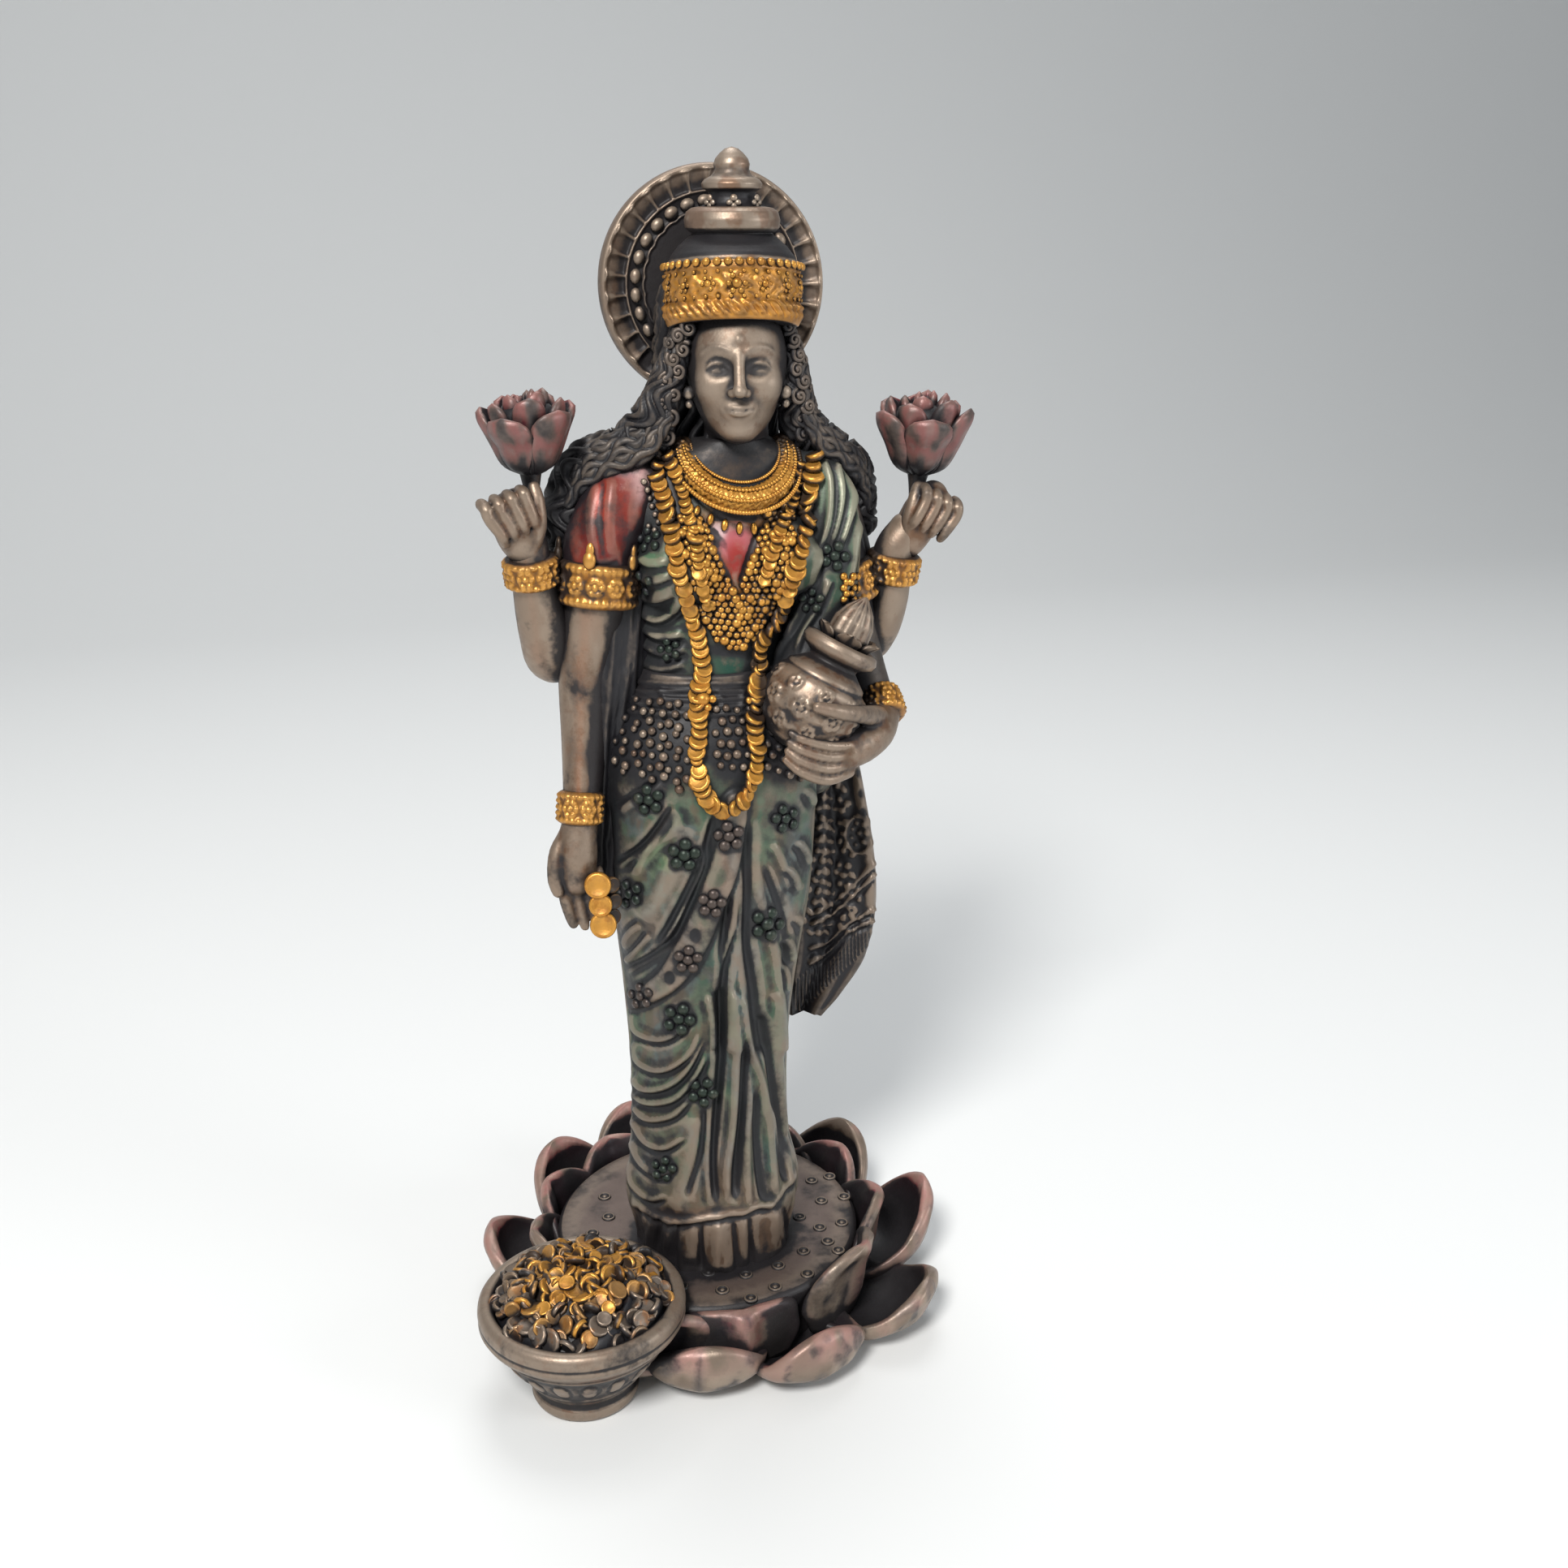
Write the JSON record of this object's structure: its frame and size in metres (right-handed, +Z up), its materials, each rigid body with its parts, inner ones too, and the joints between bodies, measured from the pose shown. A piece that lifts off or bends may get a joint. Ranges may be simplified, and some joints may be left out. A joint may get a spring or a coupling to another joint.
{
  "type": "deity statuette",
  "caption": "Small four-armed Lakshmi statuette cast in one piece, standing on an open lotus beside a bowl of coins, antique metal finish with gold and faded colour.",
  "frame": {"origin": "on the flat underside, in the middle of the piece's whole width and depth", "axes": "+Z up from the underside to the crown's tip, -Y the way the figure faces, +X the figure's left, which is the viewer's right"},
  "size_m": [0.0802, 0.073, 0.18],
  "materials": {
    "cast_resin": "cold-cast resin with metal powder: dark wash in the hollows, rubbed silver-bronze on the heights, gold jewellery, faded green, red and pink paint"
  },
  "bodies": {
    "root": {"lakshmi_figure": "cast_resin"}
  },
  "joints": []
}
